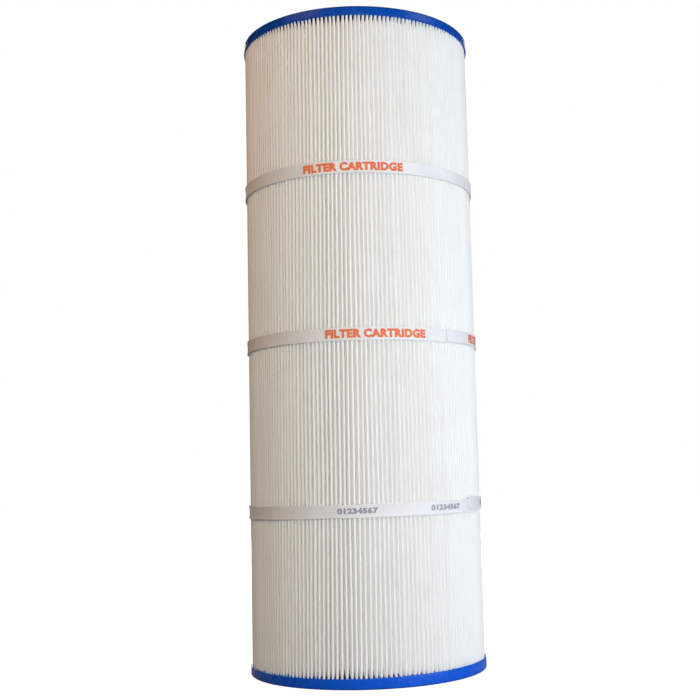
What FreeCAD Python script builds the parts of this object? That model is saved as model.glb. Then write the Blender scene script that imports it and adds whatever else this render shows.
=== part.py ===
import FreeCAD
import Part

import math
import os

# Pleated filter cartridge: a ring of pleated media with a lattice core inside it, cast into a
# soft end cap at each end and held at three heights by straps around the pleat tips.
#
# Units are millimetres. The axis of the cartridge is Z, the lower end face is at z = 0, and the
# front of the cartridge faces -Y. Azimuths are degrees from the front, positive towards +X.

# Overall
HEIGHT = 486.0
CAP_R = 88.9
PORT_R = 38.1

# End caps
CAP_EDGE = 6.8
CAP_FLOOR = 2.5
CAP_RIM_FILLET = 1.3
CAP_INNER_FILLET = 0.4
CAP_RIM_IN_R = 83.0
CAP_LIP_OUT_R = 46.0
CAP_RECESS = 1.0
COLLAR_OUT_R = 41.0
COLLAR_TOP = 10.5
PORT_CHAMFER = 1.0
COLLAR_CHAMFER = 0.6
PIN_MARKS = 12
PIN_MARK_R = 2.5
PIN_MARK_RING_R = 65.0

# Pleated media
PLEATS = 176
MEDIA_THICK = 0.55
MEDIA_OUT_R = 87.9
MEDIA_IN_R = 44.5
OUTER_FOLD_R = 0.60
INNER_FOLD_R = 0.32

# Bead that closes the ring of media, in one valley at the back
SEAM_PLEAT = 66
SEAM_IN_R = 70.0
SEAM_OUT_R = 84.0

# Retaining bands and the adhesive under them: name, centre height, azimuth of the free end,
# and how far the overlapping end sits above the first turn
BANDS = (
    ("lower", 121.1, 57.5, 2.0),
    ("middle", 245.2, 44.0, 0.5),
    ("upper", 366.0, 144.0, 0.8),
)
BAND_WIDTH = 9.4
BAND_THICK = 0.5
ADHESIVE_WIDTH = 5.0
ADHESIVE_THICK = 0.3
LAP_ANGLE = 12.0
LAP_RAMP_ANGLE = 2.5

# Core sections
CORE_SECTIONS = 4
CORE_IN_R = 41.0
CORE_OUT_R = 44.0
CORE_RIB_OUT_R = 43.0
CORE_END_RING = 8.0
CORE_ROWS = 6
CORE_COLUMNS = 16
WINDOW_WIDTH = 12.0
WINDOW_HEIGHT = 14.0
SPIGOT_HEIGHT = 6.0
SPIGOT_OUT_R = 42.4
SOCKET_IN_R = 42.5
SOCKET_DEPTH = 6.4

# How far cutting tools reach beyond the walls they cut
CUT_MARGIN = 2.0


def polar(radius, azimuth, z=0.0):
    """Point at a radius and an azimuth measured from the front (-Y) towards +X."""
    angle = math.radians(azimuth - 90.0)
    return FreeCAD.Vector(radius * math.cos(angle), radius * math.sin(angle), z)


def lifted(shape, z):
    return shape.translated(FreeCAD.Vector(0, 0, z))


def extruded(wires, z_low, z_high):
    """Upright solid from an outer wire and any hole wires drawn at z = 0."""
    face = Part.makeFace(wires, "Part::FaceMakerBullseye")
    return lifted(face.extrude(FreeCAD.Vector(0, 0, z_high - z_low)), z_low)


def ring(r_in, r_out, z_low, z_high):
    height = z_high - z_low
    solid = Part.makeCylinder(r_out, height).cut(Part.makeCylinder(r_in, height))
    return lifted(solid, z_low)


def turned(outline):
    """Solid of revolution about Z from a closed outline of (radius, z) corners."""
    corners = [FreeCAD.Vector(r, 0, z) for r, z in outline]
    wire = Part.makePolygon(corners + corners[:1])
    return Part.Face(wire).revolve(FreeCAD.Vector(), FreeCAD.Vector(0, 0, 1), 360)


def mirrored_to_top(shape):
    return shape.mirror(FreeCAD.Vector(0, 0, HEIGHT / 2), FreeCAD.Vector(0, 0, 1))


def radial_box(r_in, r_out, width, azimuth, z_low, z_high):
    """Box across the given radii, centred on an azimuth."""
    box = Part.makeBox(r_out - r_in, width, z_high - z_low, FreeCAD.Vector(r_in, -width / 2, z_low))
    box.rotate(FreeCAD.Vector(), FreeCAD.Vector(0, 0, 1), azimuth - 90.0)
    return box


class PleatSection:
    """Cross-section of the pleated sheet: round folds joined by straight flanks.

    Pleat i has its outer fold at azimuth i * pitch and an inner fold half a pitch to each side.
    """

    def __init__(self):
        self.pitch = 360.0 / PLEATS
        self.outer_centre_r = MEDIA_OUT_R - OUTER_FOLD_R - MEDIA_THICK / 2
        self.inner_centre_r = MEDIA_IN_R + INNER_FOLD_R + MEDIA_THICK / 2
        half_pitch = math.radians(self.pitch / 2)
        across = self.inner_centre_r * math.sin(half_pitch)
        inward = self.outer_centre_r - self.inner_centre_r * math.cos(half_pitch)
        span = math.hypot(across, inward)
        # Tilt of a flank's normal from the tangential direction towards the axis.
        self.tilt = math.asin((OUTER_FOLD_R + INNER_FOLD_R) / span) - math.atan2(across, inward)

    def flank_normal(self, tip, side):
        """Unit normal of a pleat's flank, pointing away from the pleat's middle."""
        sideways = polar(1.0, tip + 90.0) * (side * math.cos(self.tilt))
        return sideways - polar(1.0, tip) * math.sin(self.tilt)

    def flank(self, tip, side, offset):
        """Outer and inner ends of a flank moved off the sheet's middle by an offset."""
        normal = self.flank_normal(tip, side)
        root = tip + side * self.pitch / 2
        high = polar(self.outer_centre_r, tip) + normal * (OUTER_FOLD_R + offset)
        low = polar(self.inner_centre_r, root) - normal * (INNER_FOLD_R - offset)
        return high, low

    def boundary(self, offset):
        """Closed wire along one face of the sheet: offset is plus or minus half its thickness."""
        edges = []
        for i in range(PLEATS):
            tip = i * self.pitch
            root = tip + self.pitch / 2
            start = self.flank(tip, -1, offset)[0]
            crest = polar(self.outer_centre_r + OUTER_FOLD_R + offset, tip)
            high, low = self.flank(tip, 1, offset)
            valley = polar(self.inner_centre_r - INNER_FOLD_R + offset, root)
            next_high, next_low = self.flank(tip + self.pitch, -1, offset)
            edges.append(Part.Arc(start, crest, high).toShape())
            edges.append(Part.makeLine(high, low))
            edges.append(Part.Arc(low, valley, next_low).toShape())
            edges.append(Part.makeLine(next_low, next_high))
        return Part.Wire(edges)

    def sheet(self, z_low, z_high):
        half = MEDIA_THICK / 2
        return extruded([self.boundary(half), self.boundary(-half)], z_low, z_high)

    def valley_fill(self, tip, r_in, r_out, z_low, z_high):
        """Bead between the outside flanks of a pleat and the next one, between two radii."""
        corners = []
        for azimuth, side, radii in ((tip, 1, (r_in, r_out)), (tip + self.pitch, -1, (r_out, r_in))):
            high, low = self.flank(azimuth, side, MEDIA_THICK / 2)
            for radius in radii:
                share = (high.Length - radius) / (high.Length - low.Length)
                corners.append(high + (low - high) * share)
        return extruded([Part.makePolygon(corners + corners[:1])], z_low, z_high)


def cap_casting():
    """Lower end cap before the media and the core are set into it."""
    rim_step = (CAP_RIM_IN_R - CAP_RECESS, CAP_RECESS)
    lip_step = (CAP_LIP_OUT_R + CAP_RECESS, CAP_RECESS)
    casting = turned([
        (PORT_R, PORT_CHAMFER),
        (PORT_R, COLLAR_TOP - COLLAR_CHAMFER),
        (PORT_R + COLLAR_CHAMFER, COLLAR_TOP),
        (COLLAR_OUT_R, COLLAR_TOP),
        (COLLAR_OUT_R, CAP_EDGE),
        (CAP_R, CAP_EDGE),
        (CAP_R, 0.0),
        (CAP_RIM_IN_R, 0.0),
        rim_step,
        lip_step,
        (CAP_LIP_OUT_R, 0.0),
        (PORT_R + PORT_CHAMFER, 0.0),
    ])
    casting = filleted_at(casting, CAP_R, 0.0, CAP_RIM_FILLET)
    return filleted_at(casting, CAP_R, CAP_EDGE, CAP_INNER_FILLET)


def filleted_at(shape, radius, z, fillet_r):
    """Fillet the circular edge of a radius at a height."""
    edges = []
    for edge in shape.Edges:
        circle = isinstance(edge.Curve, Part.Circle)
        if circle and abs(edge.Curve.Radius - radius) < 1e-6 and abs(edge.Curve.Center.z - z) < 1e-6:
            edges.append(edge)
    return shape.makeFillet(fillet_r, edges)


def bottom_cap(section):
    """End cap with the media and the core potted in, and marks left by the mould's pins."""
    pins = []
    for i in range(PIN_MARKS):
        place = polar(PIN_MARK_RING_R, (i + 0.5) * 360.0 / PIN_MARKS)
        pins.append(Part.makeCylinder(PIN_MARK_R, CAP_FLOOR, place))
    core_slot = ring(CORE_IN_R, CORE_OUT_R, CAP_FLOOR, CAP_EDGE)
    media_slot = section.sheet(CAP_FLOOR, CAP_EDGE)
    return cap_casting().cut(pins).cut(core_slot).cut(media_slot)


def core_section(index):
    """One lattice moulding of the core, with a socket below and a spigot above where it joins."""
    length = (HEIGHT - 2 * CAP_FLOOR) / CORE_SECTIONS
    z_low = CAP_FLOOR + index * length
    z_high = z_low + length
    lattice_low = z_low + CORE_END_RING
    lattice_high = z_high - CORE_END_RING
    row_pitch = (lattice_high - lattice_low) / CORE_ROWS
    openings = []
    for column in range(CORE_COLUMNS):
        azimuth = column * 360.0 / CORE_COLUMNS
        openings.append(radial_box(CORE_RIB_OUT_R, CORE_OUT_R + CUT_MARGIN, WINDOW_WIDTH, azimuth,
                                   lattice_low, lattice_high))
        for row in range(CORE_ROWS):
            middle = lattice_low + (row + 0.5) * row_pitch
            openings.append(radial_box(CORE_IN_R - CUT_MARGIN, CORE_OUT_R + CUT_MARGIN,
                                       WINDOW_WIDTH, azimuth,
                                       middle - WINDOW_HEIGHT / 2, middle + WINDOW_HEIGHT / 2))
    shape = ring(CORE_IN_R, CORE_OUT_R, z_low, z_high).cut(openings)
    if index > 0:
        shape = shape.cut(ring(CORE_IN_R - CUT_MARGIN, SOCKET_IN_R, z_low, z_low + SOCKET_DEPTH))
    if index < CORE_SECTIONS - 1:
        spigot = ring(CORE_IN_R, SPIGOT_OUT_R, z_high, z_high + SPIGOT_HEIGHT)
        shape = shape.fuse(spigot)
    return shape.removeSplitter()


def band(centre, free_end, lap_lift):
    """Strap around the pleat tips whose last few centimetres lie over its first turn."""
    r_in = MEDIA_OUT_R + ADHESIVE_THICK
    r_out = r_in + BAND_THICK
    r_lap = r_out + BAND_THICK
    low = centre - BAND_WIDTH / 2
    lap_end = free_end + LAP_ANGLE
    ramp_end = lap_end + LAP_RAMP_ANGLE
    corners = [polar(r_out, free_end), polar(r_lap, free_end), polar(r_lap, lap_end), polar(r_out, ramp_end)]
    over = Part.Arc(corners[1], polar(r_lap, free_end + LAP_ANGLE / 2), corners[2]).toShape()
    under = Part.Arc(corners[3], polar(r_out, (free_end + ramp_end) / 2), corners[0]).toShape()
    step = Part.makeLine(corners[0], corners[1])
    ramp = Part.makeLine(corners[2], corners[3])
    outline = Part.Wire([step, over, ramp, under])
    lap = extruded([outline], low + lap_lift, low + lap_lift + BAND_WIDTH)
    return ring(r_in, r_out, low, low + BAND_WIDTH).fuse(lap).removeSplitter()


def adhesive(centre):
    half = ADHESIVE_WIDTH / 2
    return ring(MEDIA_OUT_R, MEDIA_OUT_R + ADHESIVE_THICK, centre - half, centre + half)


def build_nodes():
    section = PleatSection()
    cap = bottom_cap(section)
    nodes = {
        "bottom_end_cap": cap,
        "top_end_cap": mirrored_to_top(cap),
        "pleated_media": section.sheet(CAP_FLOOR, HEIGHT - CAP_FLOOR),
        "media_seam": section.valley_fill(SEAM_PLEAT * section.pitch, SEAM_IN_R, SEAM_OUT_R,
                                          CAP_EDGE, HEIGHT - CAP_EDGE),
    }
    for index in range(CORE_SECTIONS):
        nodes["core_section_%d" % (index + 1)] = core_section(index)
    for name, centre, free_end, lap_lift in BANDS:
        nodes["retaining_band_" + name] = band(centre, free_end, lap_lift)
        nodes["band_adhesive_" + name] = adhesive(centre)
    return nodes


def solid_of(name, shape):
    """The single closed solid of a node."""
    if len(shape.Solids) != 1 or not shape.Solids[0].isValid():
        raise ValueError("%s is not one valid solid" % name)
    return shape.Solids[0]


os.makedirs("parts", exist_ok=True)
for node, built in build_nodes().items():
    solid = solid_of(node, built)
    solid.exportStep(os.path.join("parts", node + ".step"))
    print("%-24s volume %10.1f mm3, faces %d" % (node, solid.Volume, len(solid.Faces)))
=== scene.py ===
import math
import random

import bmesh
import bpy
from mathutils import Matrix, Vector


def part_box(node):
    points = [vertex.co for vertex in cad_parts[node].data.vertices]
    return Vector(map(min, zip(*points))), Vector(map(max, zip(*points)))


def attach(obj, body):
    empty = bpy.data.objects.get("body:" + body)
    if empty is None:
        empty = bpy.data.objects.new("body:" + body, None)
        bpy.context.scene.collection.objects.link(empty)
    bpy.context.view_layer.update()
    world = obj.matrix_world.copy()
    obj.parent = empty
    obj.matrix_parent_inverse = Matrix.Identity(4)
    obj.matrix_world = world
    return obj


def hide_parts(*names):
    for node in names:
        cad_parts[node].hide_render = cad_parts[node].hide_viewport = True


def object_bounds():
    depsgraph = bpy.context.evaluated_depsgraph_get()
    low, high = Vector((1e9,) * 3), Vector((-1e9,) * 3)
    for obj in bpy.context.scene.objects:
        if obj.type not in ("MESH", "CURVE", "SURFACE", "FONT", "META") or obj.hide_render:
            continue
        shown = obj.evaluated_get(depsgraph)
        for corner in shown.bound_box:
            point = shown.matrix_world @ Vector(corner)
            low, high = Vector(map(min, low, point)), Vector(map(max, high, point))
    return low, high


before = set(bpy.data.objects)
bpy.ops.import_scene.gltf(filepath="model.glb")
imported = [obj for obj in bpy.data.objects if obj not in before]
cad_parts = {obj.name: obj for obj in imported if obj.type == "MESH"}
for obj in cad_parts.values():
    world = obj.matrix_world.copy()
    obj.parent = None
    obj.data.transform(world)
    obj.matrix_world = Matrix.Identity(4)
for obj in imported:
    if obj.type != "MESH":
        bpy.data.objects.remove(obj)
CAD_LOW, CAD_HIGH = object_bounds()

# Lengths are metres and angles are radians, unless a name or comment says degrees. An azimuth
# runs from the front (-Y) towards +X.
MM = 0.001
BODY = "root"
SEED = 41

# Sizes that the frame gives
MEDIA_LOW, MEDIA_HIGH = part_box("pleated_media")
MEDIA_R = MEDIA_HIGH.x
CAP_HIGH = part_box("bottom_end_cap")[1]
CAP_R = CAP_HIGH.x
COLLAR_TOP = CAP_HIGH.z
HEIGHT = CAD_HIGH.z - CAD_LOW.z
BAND_NAMES = ("lower", "middle", "upper")
BAND_CENTRE = {n: sum(p.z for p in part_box("band_adhesive_" + n)) / 2 for n in BAND_NAMES}
BAND_IN_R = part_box("band_adhesive_lower")[1].x

# End caps: the outline, as on the lower cap
PORT_R = 38.1 * MM
COLLAR_R = 41.0 * MM
LIP_OUT_R = 46.0 * MM
RIM_IN_R = 83.0 * MM
CAP_EDGE = 6.8 * MM
RECESS = 1.0 * MM
RIM_FILLET = 1.3 * MM
INNER_FILLET = 0.5 * MM
RECESS_FILLET = 0.4 * MM
COLLAR_FILLET = 0.5 * MM
COLLAR_BORE_FILLET = 0.6 * MM
PORT_FILLET = 1.0 * MM
EDGE_SHARES = (0.4, 0.6, 0.8)
BED_DEPTH = 0.25 * MM
BED_RADII = (70.0 * MM, 55.0 * MM, 46.0 * MM)
COLLAR_FLARE = 0.01 * MM
COLLAR_FOOT_DEPTH = 0.1 * MM

# End caps: resin that climbs between the pleats, a wavy poured edge, and marks of the mould's pins
WEB_OUT_R = 87.3 * MM
WEB_RADII = (86.2 * MM, 82.0 * MM)
WEB_IN_R = 80.5 * MM
WEB_RISE_UPPER = (2.6 * MM, 5.0 * MM)
WEB_RISE_LOWER = (1.2 * MM, 3.2 * MM)
VALLEY_MIDDLE = 0.5
COLUMN_SHARES = (0.0, 0.27, VALLEY_MIDDLE, 0.73)
CREEP = 2.2 * MM
CREEP_MIDDLE = math.radians(65)
EDGE_WAVES = 9
WAVE_RATES = (2, 60)
WAVE_SIZES = (0.3, 1.0)
EDGE_RIPPLE = 0.22 * MM
EDGE_PULL = 0.05 * MM
RIPPLE_REACH_IN = 2.5 * MM
RIPPLE_REACH_DOWN = 0.8 * MM
PIN_MARKS = 12
PIN_MARK_R = 2.5 * MM
PIN_MARK_RING_R = 65.0 * MM
PIN_MARK_DEPTH = 2.5 * MM
PIN_MARK_SIDES = 24
FLAT_NORMAL = 0.999

# Pleated sheet
PLEATS = 176
SHEET_THICK = 0.55 * MM
OUTER_FOLD_R = 0.60 * MM
INNER_FOLD_R = 0.32 * MM
MEDIA_IN_R = 44.5 * MM
OUTER_FOLD_POINTS = 5
INNER_FOLD_POINTS = 3
FLANK_SHARES = (0.024, 0.055, 0.26)

# Flanks: they bow as a whole in waves, given as how many go round the object and as radians per
# metre of height. They bulge most at a share of their length, and the bulge stops short of the
# valley's middle, as it is between the outer folds, by the clearance.
FLANK_BEND = 0.15 * MM
FLANK_BEND_WAVES = ((3, 14), (7, -23))
FLANK_BULGE_AT = 0.055
FLANK_BULGE = 0.8 * MM
FLANK_CLEARANCE = 0.10 * MM

# Heights at which the sheet has points, and the valleys that stand open at the caps
LEVELS_PER_SPAN = (1, 2, 3, 3, 2, 1)
NOTCH_RISE = 7.0 * MM
NOTCH_LEVELS = (1.6 * MM, 3.6 * MM, NOTCH_RISE)
NOTCH_SHUT = 0.12

# Unevenness of the pleats. The fan widens their spacing at the front and the back, by its first
# share at the lower end and its second at the upper, and narrows it as much at the sides. The
# lean turns each inner fold back from its valley's middle.
FAN = (0.11, -0.02)
FAN_MIDDLE = math.radians(12)
LEAN = math.radians(12)
HOLD_SPREAD = 0.17 * MM
BOW_SPREAD = 0.12 * MM
SPACING_LIMIT = 0.48 * MM
TIP_SPREAD = 0.12 * MM
OWN_SHARE = 0.8
NEIGHBOURS = (-2, -1, 0, 1, 2)
NEIGHBOUR_EASE = 2.2

# Bead in the seam's valley
SEAM_PLEAT = 66
SEAM_IN_R = 70.0 * MM
SEAM_OUT_R = 84.0 * MM
SEAM_STEPS = 60
SEAM_WANDER = 0.9 * MM
SEAM_CROWN = (0.2 * MM, 0.7 * MM)

# Straps
BAND_WIDTH = 9.4 * MM
BAND_THICK = 0.5 * MM
BAND_CORNER = 0.18 * MM
BAND_ACROSS = (-1, -0.8, -0.55, -0.25, 0.25, 0.55, 0.8, 1)
BAND_STEPS_PER_PLEAT = 4
BAND_SAG = 0.07 * MM
BAND_CURL = 0.45 * MM
LAP_DEGREES = 12.0
RAMP_DEGREES = 2.5
SETTLE_DEGREES = 60.0
# name: azimuth of the free end in degrees, rise of the overlapping end, and how many degrees the
# whole strap is tilted up to the right
BAND_LAY = {
    "lower": (57.5, 2.0 * MM, 0.5),
    "middle": (44.0, 0.5 * MM, 0.0),
    "upper": (144.0, 0.8 * MM, 0.0),
}

# Print on the straps: strap, words, degrees that they span, letter height, ink, and the azimuths
# in degrees at which they start
PRINTS = (
    ("upper", "FILTER CARTRIDGE", 48.0, 6.4 * MM, "orange", (-26.5, 82.5, 190.5)),
    ("middle", "FILTER CARTRIDGE", 48.0, 6.4 * MM, "orange", (-17.0, 64.2, 149.0, 234.5)),
    ("lower", "01234567", 18.6, 4.3 * MM, "grey", (-13.0, 31.5, 76.0, 120.5, 165.0, 209.5)),
)
LETTER_WEIGHT = 0.065
LETTER_SPACING = 1.08
LETTER_CURVE_STEPS = 3
PRINT_SLICE_DEGREES = 0.7
PRINT_RAISED = 0.3 * MM
# The ink's middle stands off the strap by a share of its thickness, so its underside is sunk in.
INK_THICK = 0.03 * MM
INK_LIFT = 0.35
WELD_DISTANCE = 1e-5

# Colours. Where there are two, a pattern runs from the first to the second.
CAP_BLUE_LOWER = (0.001, 0.105, 0.71)
CAP_BLUE_UPPER = (0.001, 0.07, 0.43)
CAP_BLUE_DEEP = (0.001, 0.06, 0.42)
CAP_BLUE_WORN = (0.05, 0.24, 0.85)
# Painted shade for the caps: the end edge and the resin in the notches between the pleats are darkened
# towards these colours.
CAP_SHADE_LOWER = (0.001, 0.04, 0.25)
CAP_SHADE_UPPER = (0.001, 0.016, 0.09)
MEDIA_WHITES = (0.93, 0.925, 0.905), (0.965, 0.962, 0.955)
MEDIA_FIBRE = (0.97, 0.965, 0.955)
MEDIA_CLOUD = (0.91, 0.895, 0.87)
MEDIA_STAIN = (0.08, 0.40, 0.88)
BAND_TINTS = (0.87, 0.87, 0.885), (0.92, 0.92, 0.93)
BAND_THREAD = (0.78, 0.78, 0.85)
GLUE_TINTS = (0.78, 0.72, 0.56), (0.86, 0.82, 0.70)
CORE_TINTS = (0.74, 0.75, 0.74), (0.82, 0.83, 0.82)
FLOOR_GREYS = (0.44, 0.44, 0.44), (0.46, 0.46, 0.46)
INK_TINTS = {
    "orange": ((0.90, 0.15, 0.04), (0.86, 0.36, 0.22)),
    "grey": ((0.34, 0.34, 0.42), (0.55, 0.55, 0.64)),
}

# The strap's weave
WARP_PITCH = 0.55 * MM
WEFT_PITCH = 0.75 * MM

# Studio: light has to bounce many times to reach down between the pleats
LIGHT_BOUNCES = 24
AMBIENT = 0.04
FLOOR_HALF = 6.0
FLOOR_GLOW = (0.87, 1.0)
FLOOR_GLOW_R = (0.45, 1.3)
AIM_HEIGHT = HEIGHT * 0.45
# name, azimuth in degrees, distance, height, width and height of the box, watts, colour
LIGHTS = (
    ("key", 50, 0.95, 0.12, (0.9, 0.22), 5.2, (0.84, 0.90, 1.0)),
    ("front", 0, 1.0, 0.46, (0.6, 0.3), 3.2, (0.93, 1.0, 0.975)),
    ("left", -50, 0.8, 0.95, (0.5, 0.4), 2.0, (1.0, 0.41, 0.0)),
    ("rim", 68, 1.2, 0.98, (0.55, 0.2), 1.7, (1.0, 1.0, 1.0)),
    ("top", 20, 0.4, 1.9, (1.5, 1.5), 3, (1.0, 1.0, 1.0)),
    ("back", 180, 1.8, 0.8, (1.6, 1.2), 26, (1.0, 0.99, 0.97)),
)

# Camera
CAMERA_DISTANCE = 885.9 * MM
CAMERA_HEIGHT = 145.1 * MM
CAMERA_YAW = math.radians(-1.918)
CAMERA_PITCH = math.radians(6.277)
CAMERA_ROLL = math.radians(1.538)
CAMERA_LENS = 58.55
CAMERA_SENSOR = 36.0
CAMERA_SHIFT_X = -0.0714


def polar(radius, azimuth, z=0.0):
    return Vector((radius * math.sin(azimuth), -radius * math.cos(azimuth), z))


def azimuth_of(v):
    return math.atan2(v.x, -v.y)


def wrapped(angle):
    return (angle + math.pi) % (2 * math.pi) - math.pi


def smooth(t):
    return t * t * (3 - 2 * t)


def mesh_object(name, points, faces, material):
    """A smooth piece of the object from points and faces, riding on the only body."""
    mesh = bpy.data.meshes.new(name)
    mesh.from_pydata([tuple(p) for p in points], [], faces)
    mesh.update()
    obj = bpy.data.objects.new(name, mesh)
    bpy.context.scene.collection.objects.link(obj)
    mesh.polygons.foreach_set("use_smooth", [True] * len(mesh.polygons))
    mesh.materials.append(material)
    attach(obj, BODY)
    return obj


def tube_faces(rings, per_ring, closed_path=False):
    """Quads that join neighbouring closed rings of points."""
    faces = []
    last = rings if closed_path else rings - 1
    for j in range(last):
        low = j * per_ring
        high = ((j + 1) % rings) * per_ring
        for i in range(per_ring):
            k = (i + 1) % per_ring
            faces.append((low + i, low + k, high + k, high + i))
    return faces


def end_faces(rings, per_ring):
    """The two faces that close a run of rings at its ends."""
    last = (rings - 1) * per_ring
    return [tuple(reversed(range(per_ring))), tuple(range(last, last + per_ring))]


def fix_normals(obj):
    """Turn every face outwards."""
    edit = bmesh.new()
    edit.from_mesh(obj.data)
    bmesh.ops.recalc_face_normals(edit, faces=edit.faces)
    edit.to_mesh(obj.data)
    edit.free()


# ---------------------------------------------------------------- materials


class Shader:
    """A node material that is written as a few short calls."""

    def __init__(self, name):
        self.material = bpy.data.materials.new(name)
        self.material.use_nodes = True
        self.tree = self.material.node_tree
        self.surface = self.tree.nodes["Principled BSDF"]
        self.place = self.tree.nodes.new("ShaderNodeTexCoord").outputs["Object"]

    def node(self, kind, values=None, links=None, **settings):
        made = self.tree.nodes.new(kind)
        for key, value in settings.items():
            setattr(made, key, value)
        for key, value in (values or {}).items():
            made.inputs[key].default_value = value
        for key, source in (links or {}).items():
            self.tree.links.new(source, made.inputs[key])
        return made

    def set(self, **values):
        for key, value in values.items():
            self.surface.inputs[key.replace("_", " ")].default_value = value

    def link(self, socket, source):
        self.tree.links.new(source, self.surface.inputs[socket])

    def noise(self, scale, detail=2.0, roughness=0.5, stretch=(1, 1, 1), distortion=0.0):
        place = self.node("ShaderNodeMapping", {"Scale": stretch}, {"Vector": self.place})
        values = {"Scale": scale, "Detail": detail, "Roughness": roughness, "Distortion": distortion}
        return self.node("ShaderNodeTexNoise", values, {"Vector": place.outputs[0]}).outputs["Fac"]

    def ramp(self, source, low, high, low_value=0.0, high_value=1.0):
        values = {"From Min": low, "From Max": high, "To Min": low_value, "To Max": high_value}
        return self.node("ShaderNodeMapRange", values, {"Value": source}).outputs[0]

    def feed(self, socket, value):
        """Give a socket a number, a colour or another node's output."""
        if isinstance(value, (int, float)):
            socket.default_value = value
        elif isinstance(value, tuple):
            socket.default_value = (*value, 1.0)
        else:
            self.tree.links.new(value, socket)

    def math(self, operation, *values):
        made = self.node("ShaderNodeMath", operation=operation)
        for socket, value in zip(made.inputs, values):
            self.feed(socket, value)
        return made.outputs[0]

    def mix(self, share, a, b):
        made = self.node("ShaderNodeMix", data_type="RGBA")
        self.feed(made.inputs[0], share)
        self.feed(made.inputs[6], a)
        self.feed(made.inputs[7], b)
        return made.outputs[2]

    def bump(self, height, distance, under=None):
        links = {"Height": height}
        if under is not None:
            links["Normal"] = under
        return self.node("ShaderNodeBump", {"Distance": distance, "Strength": 1.0}, links).outputs[0]

    def split(self, source):
        return self.node("ShaderNodeSeparateXYZ", links={"Vector": source}).outputs

    def attribute(self, name):
        return self.node("ShaderNodeAttribute", attribute_name=name).outputs["Fac"]

    def upward(self, z, low_value=0.0, high_value=1.0):
        """A change from the lower part of the object to the upper."""
        return self.ramp(z, HEIGHT * 0.3, HEIGHT * 0.7, low_value, high_value)

    def from_end(self, z):
        """Height above or below the nearer end of the object."""
        return self.math("MINIMUM", z, self.math("SUBTRACT", HEIGHT, z))


def cap_material():
    """Cast blue polyurethane: satin, faintly mottled and streaked.

    It has painted shade: darker towards its end face, and darker where it climbs between the pleats, in
    the notches.
    """
    s = Shader("cap_polyurethane")
    s.set(IOR=1.5, Specular_IOR_Level=0.2)
    x, y, z = s.split(s.place)[:3]
    upper = s.upward(z)
    pigment = s.mix(upper, CAP_BLUE_LOWER, CAP_BLUE_UPPER)
    mottle = s.ramp(s.noise(90, 4, 0.6), 0.35, 0.7, 0.0, 0.25)
    scuff = s.ramp(s.noise(900, 5, 0.75, stretch=(1, 1, 0.25)), 0.68, 0.82, 0.0, 0.12)
    streak = s.ramp(s.noise(420, 2, 0.5, stretch=(1, 1, 0.03)), 0.6, 0.75, 0.0, 0.10)
    colour = s.mix(s.math("ADD", scuff, streak), s.mix(mottle, pigment, CAP_BLUE_DEEP), CAP_BLUE_WORN)
    from_end = s.from_end(z)
    # Painted shade along the cap's end edge, where the fillet turns away from the light.
    edge = s.ramp(from_end, 0.5 * MM, 1.5 * MM, 0.6, 0.0)
    radius = s.math("SQRT", s.math("ADD", s.math("MULTIPLY", x, x), s.math("MULTIPLY", y, y)))
    # Painted shade in the notches, where the resin climbs between the pleats.
    inside = s.ramp(radius, WEB_OUT_R, WEB_OUT_R + 0.3 * MM, 0.92, 0.0)
    climbed = s.ramp(from_end, CAP_EDGE + 0.1 * MM, CAP_EDGE + 0.7 * MM)
    painted_shade = s.math("MAXIMUM", edge, s.math("MULTIPLY", inside, climbed))
    s.link("Base Color", s.mix(painted_shade, colour, s.mix(upper, CAP_SHADE_LOWER, CAP_SHADE_UPPER)))
    s.link("Roughness", s.ramp(s.noise(220, 3), 0.3, 0.7, 0.24, 0.34))
    ripple = s.bump(s.noise(160, 2, 0.5, stretch=(1, 1, 0.06)), 0.25 * MM)
    s.link("Normal", s.bump(s.noise(1400, 3), 0.03 * MM, under=ripple))
    return s.material


def media_material():
    """Spun-bonded polyester: matte fibres, each pleat a little different, stained at the caps."""
    s = Shader("filter_media")
    s.set(Roughness=0.92, Specular_IOR_Level=0.25, Sheen_Weight=0.12, Sheen_Roughness=0.5)
    paper = s.mix(s.attribute("pleat_tone"), *MEDIA_WHITES)
    upright = s.noise(1500, 3, 0.65, stretch=(1, 1, 0.18), distortion=0.6)
    flat = s.noise(1200, 3, 0.65, stretch=(0.3, 0.3, 1.0), distortion=0.8)
    fibres = s.math("ADD", upright, flat)
    paper = s.mix(s.ramp(fibres, 0.8, 1.25, 0.0, 0.35), paper, MEDIA_FIBRE)
    paper = s.mix(s.ramp(s.noise(38, 3, 0.55), 0.35, 0.75, 0.0, 0.35), paper, MEDIA_CLOUD)
    z = s.split(s.place)["Z"]
    climb = s.ramp(s.noise(150, 3, 0.7), 0.45, 0.8, 0.0, 2.4 * MM)
    reach = s.math("SUBTRACT", s.from_end(z), climb)
    wick = s.ramp(reach, CAP_EDGE - 0.2 * MM, CAP_EDGE + 0.7 * MM, 0.8, 0.0)
    stain = s.math("MULTIPLY", wick, s.upward(z, 1.0, 0.25))
    s.link("Base Color", s.mix(stain, paper, MEDIA_STAIN))
    s.link("Normal", s.bump(fibres, 0.06 * MM))
    return s.material


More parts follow.
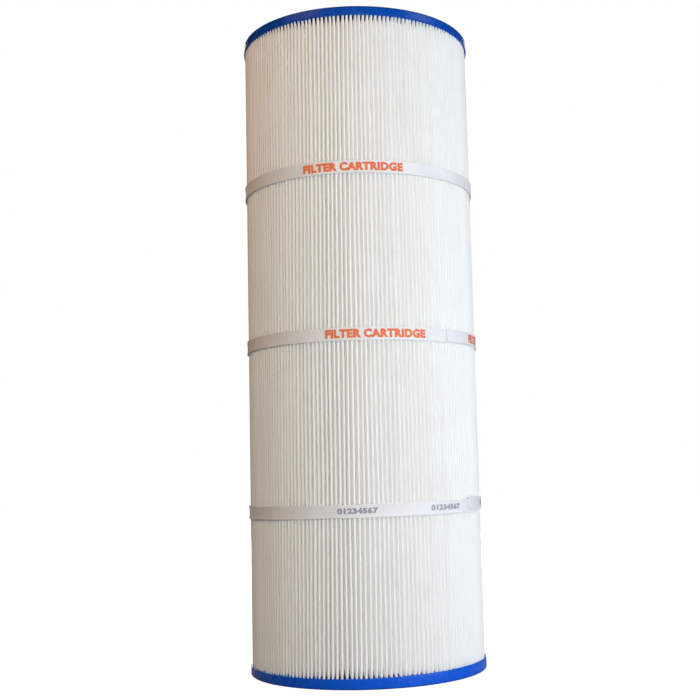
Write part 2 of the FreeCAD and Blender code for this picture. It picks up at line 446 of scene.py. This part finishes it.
def band_material():
    """Strap of smooth non-woven tape with a fine weave, cooler than the media."""
    s = Shader("band_fabric")
    s.set(Roughness=0.62, Specular_IOR_Level=0.35, Sheen_Weight=0.1)
    x, y, z = s.split(s.place)[:3]
    around = s.math("MULTIPLY", s.math("ARCTAN2", x, y), BAND_IN_R)
    warp = s.math("SINE", s.math("MULTIPLY", z, 2 * math.pi / WARP_PITCH))
    weft = s.math("SINE", s.math("MULTIPLY", around, 2 * math.pi / WEFT_PITCH))
    weave = s.math("MULTIPLY", warp, weft)
    tint = s.mix(s.ramp(s.noise(60, 3), 0.35, 0.7), *BAND_TINTS)
    thread = s.ramp(weave, -1.0, 1.0, 0.0, 0.10)
    s.link("Base Color", s.mix(thread, tint, BAND_THREAD))
    s.link("Normal", s.bump(weave, 0.02 * MM, under=s.bump(s.noise(1500, 3), 0.02 * MM)))
    return s.material


def ink_material(name, full, worn):
    """Ink printed on the strap, worn thin in specks."""
    s = Shader(name)
    s.set(Roughness=0.55, Specular_IOR_Level=0.3)
    wear = s.noise(1300, 4, 0.7)
    s.link("Base Color", s.mix(s.ramp(wear, 0.45, 0.75), full, worn))
    s.link("Normal", s.bump(wear, 0.01 * MM))
    return s.material


def hot_melt_material():
    """Cloudy ivory hot-melt glue with a soft skin."""
    s = Shader("hot_melt")
    s.set(Roughness=0.4, Subsurface_Weight=0.4, Subsurface_Scale=2 * MM)
    s.link("Base Color", s.mix(s.ramp(s.noise(300, 3), 0.3, 0.7), *GLUE_TINTS))
    s.link("Normal", s.bump(s.noise(500, 2), 0.15 * MM))
    return s.material


def core_material():
    """White moulded plastic, a little cloudy, with a fine grain."""
    s = Shader("core_plastic")
    s.set(IOR=1.49, Subsurface_Weight=0.1, Subsurface_Scale=1.5 * MM)
    s.link("Base Color", s.mix(s.ramp(s.noise(70, 3, 0.6), 0.3, 0.7), *CORE_TINTS))
    s.link("Roughness", s.ramp(s.noise(500, 3), 0.3, 0.7, 0.34, 0.5))
    s.link("Normal", s.bump(s.noise(2600, 2), 0.02 * MM))
    return s.material


def floor_material():
    """Plain pale floor that reads as white around the object."""
    s = Shader("pale_floor")
    s.set(Roughness=0.9, Emission_Color=(1, 1, 1, 1))
    s.link("Base Color", s.mix(s.noise(40, 2), *FLOOR_GREYS))
    seen = s.node("ShaderNodeLightPath").outputs["Is Camera Ray"]
    away = s.node("ShaderNodeVectorMath", links={"Vector": s.place}, operation="LENGTH").outputs["Value"]
    s.link("Emission Strength", s.math("MULTIPLY", seen, s.ramp(away, *FLOOR_GLOW_R, *FLOOR_GLOW)))
    return s.material


# ---------------------------------------------------------------- pleated media


def arc_points(centre, radius, start, finish, count):
    """Points round a fold, from one flank's normal to the other's."""
    angles = [start + (finish - start) * j / (count - 1) for j in range(count)]
    return [centre + polar(radius, angle) for angle in angles]


class Pleats:
    """Where every fold of the sheet is, at any height.

    The folds are held at the caps and under the straps, a little off their even spacing, and
    bow to one side or the other between those heights. Every pleat leans the same way.
    """

    def __init__(self, rng):
        middle = [BAND_CENTRE[n] for n in BAND_NAMES]
        self.holds = [MEDIA_LOW.z, CAP_EDGE, *middle, HEIGHT - CAP_EDGE, MEDIA_HIGH.z]
        self.shift = [self.spread(rng, HOLD_SPREAD) for _ in self.holds]
        self.shift[0] = self.shift[1]
        self.shift[-1] = self.shift[-2]
        self.bow = [self.spread(rng, BOW_SPREAD) for _ in self.holds[1:]]
        self.bow[0] = self.bow[-1] = [0.0] * PLEATS
        self.tip = [self.spread(rng, TIP_SPREAD) for _ in self.holds]
        self.tone = [rng.random() for _ in range(PLEATS)]
        self.outer_centre_r = MEDIA_R - OUTER_FOLD_R - SHEET_THICK / 2
        self.inner_centre_r = MEDIA_IN_R + INNER_FOLD_R + SHEET_THICK / 2

    def spread(self, rng, size):
        """One offset per pleat: partly its own, partly shared with its neighbours."""
        own = [rng.gauss(0, size) for _ in range(PLEATS)]
        shared = [rng.gauss(0, size) for _ in range(PLEATS)]
        offsets = []
        for i in range(PLEATS):
            near = sum(shared[(i + k) % PLEATS] for k in NEIGHBOURS) / NEIGHBOUR_EASE
            offsets.append(max(-SPACING_LIMIT, min(SPACING_LIMIT, own[i] * OWN_SHARE + near)))
        return offsets

    def span(self, z):
        """The span between two holds that a height is in, and how far up it."""
        for k in range(len(self.holds) - 1):
            if z <= self.holds[k + 1] or k == len(self.holds) - 2:
                share = (z - self.holds[k]) / (self.holds[k + 1] - self.holds[k])
                return k, min(1.0, max(0.0, share))

    def section(self, z):
        """Fold centres and flank normals at a height."""
        k, share = self.span(z)
        ease = smooth(share)
        arch = math.sin(math.pi * share)
        fan = FAN[0] + (FAN[1] - FAN[0]) * z / HEIGHT
        azimuths = []
        outer = []
        for i in range(PLEATS):
            even = 2 * math.pi * i / PLEATS
            even += fan / 2 * math.sin(2 * (wrapped(even) - FAN_MIDDLE))
            shift = self.shift[k][i] * (1 - ease) + self.shift[k + 1][i] * ease + self.bow[k][i] * arch
            azimuths.append(even + shift / MEDIA_R)
            sink = abs(self.tip[k][i] * (1 - ease) + self.tip[k + 1][i] * ease)
            outer.append(polar(self.outer_centre_r - sink, azimuths[i]))
        inner = []
        for i in range(PLEATS):
            step = wrapped(azimuths[(i + 1) % PLEATS] - azimuths[i])
            inner.append(polar(self.inner_centre_r, azimuths[i] + step / 2 - LEAN))
        left, right = [], []
        for i in range(PLEATS):
            inward = azimuths[i] + math.pi
            for roots, side, normals in ((i - 1, 1, left), (i, -1, right)):
                reach = inner[roots] - outer[i]
                tangent = math.acos((OUTER_FOLD_R + INNER_FOLD_R) / reach.length)
                turn = wrapped(azimuth_of(reach) - inward)
                normals.append(azimuths[i] - side * math.pi + turn + side * tangent)
        return outer, inner, left, right

    def room(self, crest, next_crest, z):
        """How far a valley's flanks bulge into it: little at the caps, where it stands open."""
        gap = (next_crest - crest).length / 2 - OUTER_FOLD_R - SHEET_THICK / 2
        rise = min(z, HEIGHT - z) - CAP_EDGE
        shut = smooth(min(1.0, max(0.0, rise / NOTCH_RISE)))
        most = max(0.0, min(FLANK_BULGE, gap - FLANK_CLEARANCE))
        return most * (NOTCH_SHUT + (1 - NOTCH_SHUT) * shut)

    def bent(self, high, low, share, z, most, side):
        """Point down a flank, which bulges away from its pleat below the fold and bows as a whole."""
        azimuth = azimuth_of(high)
        drift = sum(math.sin(turns * azimuth + rise * z) for turns, rise in FLANK_BEND_WAVES)
        bend = FLANK_BEND * drift * math.sin(math.pi * share)
        depth = share / FLANK_BULGE_AT
        bulge = most * depth * math.exp(1 - depth)
        return high + (low - high) * share + polar(bend + side * bulge, azimuth + math.pi / 2)

    def face_points(self, z, offset):
        """The sheet's face at a height, moved off its middle by an offset."""
        outer, inner, left, right = self.section(z)
        outer_r, inner_r = OUTER_FOLD_R + offset, INNER_FOLD_R - offset
        points = []
        for i in range(PLEATS):
            nxt = (i + 1) % PLEATS
            end = left[nxt] + (2 * math.pi if nxt == 0 else 0)
            crest = arc_points(outer[i], outer_r, left[i], right[i], OUTER_FOLD_POINTS)
            root = arc_points(inner[i], inner_r, right[i] - math.pi, end - math.pi, INNER_FOLD_POINTS)
            next_crest = outer[nxt] + polar(outer_r, left[nxt])
            most = self.room(outer[i], outer[nxt], z)
            points += crest
            points += [self.bent(crest[-1], root[0], share, z, most, 1) for share in FLANK_SHARES]
            points += root
            points += [self.bent(next_crest, root[-1], share, z, most, -1)
                       for share in reversed(FLANK_SHARES)]
        return [(p.x, p.y, z) for p in points]

    def valley(self, i, z, radius):
        """The two points of a valley's walls, after pleat i, at a height and radius."""
        outer, inner, left, right = self.section(z)
        nxt = (i + 1) % PLEATS
        most = self.room(outer[i], outer[nxt], z)
        walls = []
        for tip, normal, side in ((i, right[i], 1), (nxt, left[nxt], -1)):
            high = outer[tip] + polar(OUTER_FOLD_R + SHEET_THICK / 2, normal)
            low = inner[i] - polar(INNER_FOLD_R - SHEET_THICK / 2, normal)
            share = (high.length - radius) / (high.length - low.length)
            point = self.bent(high, low, share, z, most, side)
            walls.append(Vector((point.x, point.y, z)))
        return walls


def media_levels(pleats):
    """Heights of the sheet's rings of points: even in each span, closer at the caps."""
    levels = [pleats.holds[0]]
    for k, count in enumerate(LEVELS_PER_SPAN):
        low, high = pleats.holds[k], pleats.holds[k + 1]
        levels += [low + (high - low) * (j + 1) / count for j in range(count)]
    for rise in NOTCH_LEVELS:
        levels += [CAP_EDGE + rise, HEIGHT - CAP_EDGE - rise]
    return sorted(levels)


def make_media(pleats, material):
    """The pleated sheet: an outer and an inner face, joined at both ends."""
    levels = media_levels(pleats)
    half = SHEET_THICK / 2
    per_pleat = OUTER_FOLD_POINTS + INNER_FOLD_POINTS + 2 * len(FLANK_SHARES)
    per_ring = PLEATS * per_pleat
    points = []
    for offset in (half, -half):
        for z in levels:
            points += pleats.face_points(z, offset)
    outside = tube_faces(len(levels), per_ring)
    shift = per_ring * len(levels)
    inside = [tuple(v + shift for v in reversed(face)) for face in outside]
    ends = []
    top = shift - per_ring
    for i in range(per_ring):
        k = (i + 1) % per_ring
        ends.append((i, i + shift, k + shift, k))
        ends.append((top + i, top + k, top + shift + k, top + shift + i))
    media = mesh_object("pleated_sheet", points, outside + inside + ends, material)
    tone = media.data.attributes.new("pleat_tone", "FLOAT", "POINT")
    ring = [pleats.tone[j // per_pleat] for j in range(per_ring)]
    tone.data.foreach_set("value", ring * (2 * len(levels)))
    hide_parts("pleated_media")


def make_seam(pleats, rng, material):
    """Bead of glue in one valley, uneven along its outer edge."""
    points = []
    low, high = CAP_EDGE, HEIGHT - CAP_EDGE
    for j in range(SEAM_STEPS + 1):
        z = low + (high - low) * j / SEAM_STEPS
        wander = rng.uniform(-SEAM_WANDER, SEAM_WANDER)
        inner_a, inner_b = pleats.valley(SEAM_PLEAT, z, SEAM_IN_R + wander)
        outer_a, outer_b = pleats.valley(SEAM_PLEAT, z, SEAM_OUT_R + wander)
        crown = (outer_a + outer_b) / 2 + polar(rng.uniform(*SEAM_CROWN), azimuth_of(outer_a))
        points += [inner_b, inner_a, outer_a, crown, outer_b]
    rings = SEAM_STEPS + 1
    per_ring = len(points) // rings
    faces = tube_faces(rings, per_ring) + end_faces(rings, per_ring)
    seam = mesh_object("seam_bead", points, faces, material)
    fix_normals(seam)
    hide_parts("media_seam")


# ---------------------------------------------------------------- end caps


def arc_profile(centre_r, centre_z, radius, start, finish, count):
    """Points of a round stretch of an outline, angles in degrees from +r towards +z."""
    found = []
    for j in range(count + 1):
        angle = math.radians(start + (finish - start) * j / count)
        found.append((centre_r + radius * math.cos(angle), centre_z + radius * math.sin(angle)))
    return found


def cap_outline():
    """Closed (radius, height) outline of the lower cap, going round anticlockwise."""
    bed = CAP_EDGE - BED_DEPTH
    outline = []
    outline += arc_profile(RIM_IN_R + RECESS_FILLET, RECESS_FILLET, RECESS_FILLET, 225, 270, 2)
    outline += arc_profile(CAP_R - RIM_FILLET, RIM_FILLET, RIM_FILLET, 270, 360, 6)
    outline += [(CAP_R, CAP_EDGE * share) for share in EDGE_SHARES]
    outline += arc_profile(CAP_R - INNER_FILLET, CAP_EDGE - INNER_FILLET, INNER_FILLET, 0, 90, 4)
    outline += [(radius, bed) for radius in (WEB_OUT_R, *WEB_RADII, WEB_IN_R, *BED_RADII)]
    outline.append((COLLAR_R + COLLAR_FLARE, CAP_EDGE - COLLAR_FOOT_DEPTH))
    outline += arc_profile(COLLAR_R - COLLAR_FILLET, COLLAR_TOP - COLLAR_FILLET, COLLAR_FILLET, 0, 90, 3)
    outline += arc_profile(PORT_R + COLLAR_BORE_FILLET, COLLAR_TOP - COLLAR_BORE_FILLET,
                           COLLAR_BORE_FILLET, 90, 180, 3)
    outline += arc_profile(PORT_R + PORT_FILLET, PORT_FILLET, PORT_FILLET, 180, 270, 4)
    outline += arc_profile(LIP_OUT_R - RECESS_FILLET, RECESS_FILLET, RECESS_FILLET, 270, 315, 2)
    outline.append((LIP_OUT_R + RECESS, RECESS))
    outline.append((RIM_IN_R - RECESS, RECESS))
    return outline


def cap_columns(pleats, rng, upper):
    """Azimuths round a cap, four to a pleat, with how far the resin climbs there."""
    outer = pleats.section(HEIGHT - CAP_EDGE if upper else CAP_EDGE)[0]
    reach = WEB_RISE_UPPER if upper else WEB_RISE_LOWER
    columns = []
    for i in range(PLEATS):
        start = azimuth_of(outer[i])
        step = wrapped(azimuth_of(outer[(i + 1) % PLEATS]) - start)
        climb = rng.uniform(*reach)
        for share in COLUMN_SHARES:
            columns.append((start + share * step, climb if share == VALLEY_MIDDLE else 0.0))
    return columns


def make_cap(name, node, pleats, rng, material, upper):
    """End cap: a turned casting, a little uneven at its edge, that climbs between the pleats."""
    outline = cap_outline()
    columns = cap_columns(pleats, rng, upper)
    waves = []
    for _ in range(EDGE_WAVES):
        waves.append((rng.randint(*WAVE_RATES), rng.uniform(0, 2 * math.pi), rng.uniform(*WAVE_SIZES)))
    points = []
    for azimuth, climb in columns:
        ripple = sum(size * math.sin(rate * azimuth + phase) for rate, phase, size in waves) / EDGE_WAVES
        creep = 0.0 if upper else CREEP * math.cos((azimuth - CREEP_MIDDLE) / 2) ** 4
        for radius, z in outline:
            rim = max(0.0, 1 - abs(radius - CAP_R) / RIPPLE_REACH_IN)
            poured = max(0.0, 1 - abs(z - CAP_EDGE) / RIPPLE_REACH_DOWN)
            height = z + (EDGE_RIPPLE * ripple + creep) * rim * poured
            if radius in WEB_RADII and z > RECESS:
                height += climb
            place = polar(radius - EDGE_PULL * abs(ripple) * rim, azimuth, height)
            if upper:
                place.z = HEIGHT - place.z
            points.append(place)
    faces = tube_faces(len(columns), len(outline), closed_path=True)
    cap = mesh_object(name, points, faces, material)
    fix_normals(cap)
    press_pin_marks(cap, upper)
    for face in cap.data.polygons:
        face.use_smooth = abs(face.normal.z) < FLAT_NORMAL
    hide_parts(node)


def press_pin_marks(cap, upper):
    """Cut the round marks that the mould's pins leave in the end face."""
    tool = bpy.data.meshes.new("pin_tool")
    edit = bmesh.new()
    for i in range(PIN_MARKS):
        place = polar(PIN_MARK_RING_R, 2 * math.pi * (i + 0.5) / PIN_MARKS)
        place.z = HEIGHT if upper else 0.0
        bmesh.ops.create_cone(edit, cap_ends=True, segments=PIN_MARK_SIDES, radius1=PIN_MARK_R,
                              radius2=PIN_MARK_R, depth=2 * PIN_MARK_DEPTH,
                              matrix=Matrix.Translation(place))
    edit.to_mesh(tool)
    edit.free()
    cutter = bpy.data.objects.new("pin_tool", tool)
    bpy.context.scene.collection.objects.link(cutter)
    cut = cap.modifiers.new("pins", "BOOLEAN")
    cut.operation = "DIFFERENCE"
    cut.object = cutter
    cut.solver = "EXACT"
    graph = bpy.context.evaluated_depsgraph_get()
    result = bpy.data.meshes.new_from_object(cap.evaluated_get(graph))
    cap.modifiers.clear()
    cap.data = result
    bpy.data.objects.remove(cutter)


# ---------------------------------------------------------------- straps


class Strap:
    """Path of one strap: a turn round the pleats whose end lies over its start."""

    def __init__(self, name):
        free_end, self.rise, tilt = BAND_LAY[name]
        self.start = math.radians(free_end)
        self.lap = math.radians(LAP_DEGREES)
        self.ramp = math.radians(RAMP_DEGREES)
        self.centre = BAND_CENTRE[name]
        self.slope = math.tan(math.radians(tilt))

    def radius(self, turn):
        """Inner radius at an angle past the free end; the lap comes first and lies outside."""
        if turn < self.lap:
            return BAND_IN_R + BAND_THICK
        share = min(1.0, (turn - self.lap) / self.ramp)
        return BAND_IN_R + BAND_THICK * (1 - smooth(share))

    def height(self, turn):
        """Middle of the strap's width at an angle past the free end."""
        azimuth = self.start + turn
        settle = min(1.0, turn / math.radians(SETTLE_DEGREES))
        tilt = self.slope * BAND_IN_R * math.sin(azimuth)
        return self.centre + tilt + self.rise * (1 - smooth(settle))

    @staticmethod
    def curl(up):
        """How far the strap stands off its glue line towards its free edges."""
        return BAND_CURL * abs(2 * up / BAND_WIDTH) ** 3

    def outside(self, azimuth):
        """Outer radius and height of what shows at an azimuth."""
        turn = (azimuth - self.start) % (2 * math.pi)
        return self.radius(turn) + BAND_THICK, self.height(turn)


def strap_section(strap):
    """Closed (outwards, upwards) section of a strap, with its outer corners cut off."""
    half = BAND_WIDTH / 2
    face = BAND_THICK + BAND_CURL
    across = [half * share for share in BAND_ACROSS]
    section = [(strap.curl(up), up) for up in across]
    section += [(face - BAND_CORNER, half), (face, half - BAND_CORNER)]
    section += [(BAND_THICK + strap.curl(up), up) for up in reversed(across[1:-1])]
    section += [(face, BAND_CORNER - half), (face - BAND_CORNER, -half)]
    return section


def make_strap(name, material):
    """A strap that sags a little, once for every pleat."""
    strap = Strap(name)
    section = strap_section(strap)
    total = 2 * math.pi + strap.lap
    steps = int(PLEATS * BAND_STEPS_PER_PLEAT * total / (2 * math.pi))
    points = []
    for j in range(steps + 1):
        turn = total * j / steps
        azimuth = strap.start + turn
        phase = (azimuth * PLEATS / (2 * math.pi)) % 1.0
        sag = BAND_SAG * (1 - math.cos(2 * math.pi * phase)) / 2
        base = strap.radius(turn) - sag
        middle = strap.height(turn)
        for out, up in section:
            points.append(polar(base + out, azimuth, middle + up))
    per_ring = len(section)
    faces = tube_faces(steps + 1, per_ring) + end_faces(steps + 1, per_ring)
    band = mesh_object("strap_" + name, points, faces, material)
    fix_normals(band)
    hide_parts("retaining_band_" + name)
    return strap


def flat_words(words):
    """Mesh of thick flat letters, one unit deep."""
    curve = bpy.data.curves.new("words", "FONT")
    curve.body = words
    curve.size = 1.0
    curve.offset = LETTER_WEIGHT
    curve.space_character = LETTER_SPACING
    curve.extrude = 0.5
    curve.resolution_u = LETTER_CURVE_STEPS
    source = bpy.data.objects.new("words", curve)
    bpy.context.scene.collection.objects.link(source)
    graph = bpy.context.evaluated_depsgraph_get()
    mesh = bpy.data.meshes.new_from_object(source.evaluated_get(graph))
    bpy.data.objects.remove(source)
    return mesh


def make_print(index, strap, words, start, span, size, material):
    """Raised ink on a strap: flat letters, cut into narrow slices and bent round the strap."""
    mesh = flat_words(words)
    xs = [v.co.x for v in mesh.vertices]
    ys = [v.co.y for v in mesh.vertices]
    low_x, wide = min(xs), max(xs) - min(xs)
    low_y, tall = min(ys), max(ys) - min(ys)
    edit = bmesh.new()
    edit.from_mesh(mesh)
    bmesh.ops.remove_doubles(edit, verts=edit.verts, dist=WELD_DISTANCE)
    slices = int(span / PRINT_SLICE_DEGREES)
    for j in range(1, slices):
        where = Vector((low_x + wide * j / slices, 0, 0))
        whole = edit.verts[:] + edit.edges[:] + edit.faces[:]
        bmesh.ops.bisect_plane(edit, geom=whole, plane_co=where, plane_no=Vector((1, 0, 0)))
    for vertex in edit.verts:
        azimuth = math.radians(start + span * (vertex.co.x - low_x) / wide)
        radius, middle = strap.outside(azimuth)
        up = size * ((vertex.co.y - low_y) / tall - 0.5) + PRINT_RAISED
        lift = INK_THICK * (vertex.co.z + INK_LIFT) + strap.curl(up)
        vertex.co = polar(radius + lift, azimuth, middle + up)
    edit.to_mesh(mesh)
    edit.free()
    mesh.materials.clear()
    mesh.materials.append(material)
    obj = bpy.data.objects.new("print_%02d" % index, mesh)
    bpy.context.scene.collection.objects.link(obj)
    fix_normals(obj)
    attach(obj, BODY)


# ---------------------------------------------------------------- stage, lights and camera


def make_floor():
    half = FLOOR_HALF
    mesh = bpy.data.meshes.new("floor")
    corners = [(-half, -half, 0), (half, -half, 0), (half, half, 0), (-half, half, 0)]
    mesh.from_pydata(corners, [], [(0, 1, 2, 3)])
    floor = bpy.data.objects.new("floor", mesh)
    bpy.context.scene.collection.objects.link(floor)
    mesh.materials.append(floor_material())


def make_light(name, azimuth, distance, height, size, watts, colour):
    """Soft box that faces the middle of the object."""
    light = bpy.data.lights.new(name, "AREA")
    light.shape = "RECTANGLE"
    light.size, light.size_y = size
    light.energy = watts
    light.color = colour
    obj = bpy.data.objects.new(name, light)
    obj.location = polar(distance, math.radians(azimuth), height)
    aim = Vector((0, 0, AIM_HEIGHT)) - obj.location
    obj.rotation_euler = aim.to_track_quat("-Z", "Y").to_euler()
    bpy.context.scene.collection.objects.link(obj)


def make_world():
    """White surroundings that light the object less than they show."""
    world = bpy.data.worlds.new("studio")
    bpy.context.scene.world = world
    world.use_nodes = True
    tree = world.node_tree
    shade = tree.nodes["Background"]
    shade.inputs["Color"].default_value = (1, 1, 1, 1)
    path = tree.nodes.new("ShaderNodeLightPath")
    level = tree.nodes.new("ShaderNodeMapRange")
    level.inputs["To Min"].default_value = AMBIENT
    level.inputs["To Max"].default_value = 1.0
    tree.links.new(path.outputs["Is Camera Ray"], level.inputs["Value"])
    tree.links.new(level.outputs[0], shade.inputs["Strength"])


def make_camera():
    data = bpy.data.cameras.new("camera")
    data.sensor_width = CAMERA_SENSOR
    data.lens = CAMERA_LENS
    data.shift_x = CAMERA_SHIFT_X
    camera = bpy.data.objects.new("camera", data)
    turn = Matrix.Rotation(CAMERA_YAW, 4, "Z") @ Matrix.Rotation(CAMERA_PITCH, 4, "X")
    turn = turn @ Matrix.Rotation(CAMERA_ROLL, 4, "Y") @ Matrix.Rotation(math.pi / 2, 4, "X")
    camera.matrix_world = Matrix.Translation((0, -CAMERA_DISTANCE, CAMERA_HEIGHT)) @ turn
    bpy.context.scene.collection.objects.link(camera)
    bpy.context.scene.camera = camera


def make_studio():
    make_floor()
    make_world()
    for light in LIGHTS:
        make_light(*light)
    bpy.context.scene.view_settings.view_transform = "Standard"
    bpy.context.scene.cycles.max_bounces = LIGHT_BOUNCES
    bpy.context.scene.cycles.diffuse_bounces = LIGHT_BOUNCES


# ---------------------------------------------------------------- the object


def make_prints(straps):
    """Every repeat of the words and digits on the three straps."""
    inks = {name: ink_material("ink_" + name, *INK_TINTS[name]) for name in INK_TINTS}
    index = 0
    for name, words, span, size, ink, starts in PRINTS:
        for start in starts:
            index += 1
            make_print(index, straps[name], words, start, span, size, inks[ink])


def dress_kept_nodes(materials):
    """Give the CAD nodes that no piece replaces their materials, by the start of their names."""
    for node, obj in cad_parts.items():
        for start, material in materials.items():
            if node.startswith(start):
                obj.data.materials.clear()
                obj.data.materials.append(material)


def make_object():
    rng = random.Random(SEED)
    pleats = Pleats(rng)
    cap = cap_material()
    cloth = band_material()
    glue = hot_melt_material()
    make_media(pleats, media_material())
    make_seam(pleats, rng, glue)
    make_cap("lower_cap", "bottom_end_cap", pleats, rng, cap, upper=False)
    make_cap("upper_cap", "top_end_cap", pleats, rng, cap, upper=True)
    make_prints({name: make_strap(name, cloth) for name in BAND_NAMES})
    dress_kept_nodes({"core_section": core_material(), "band_adhesive": glue})


make_camera()
make_object()
make_studio()
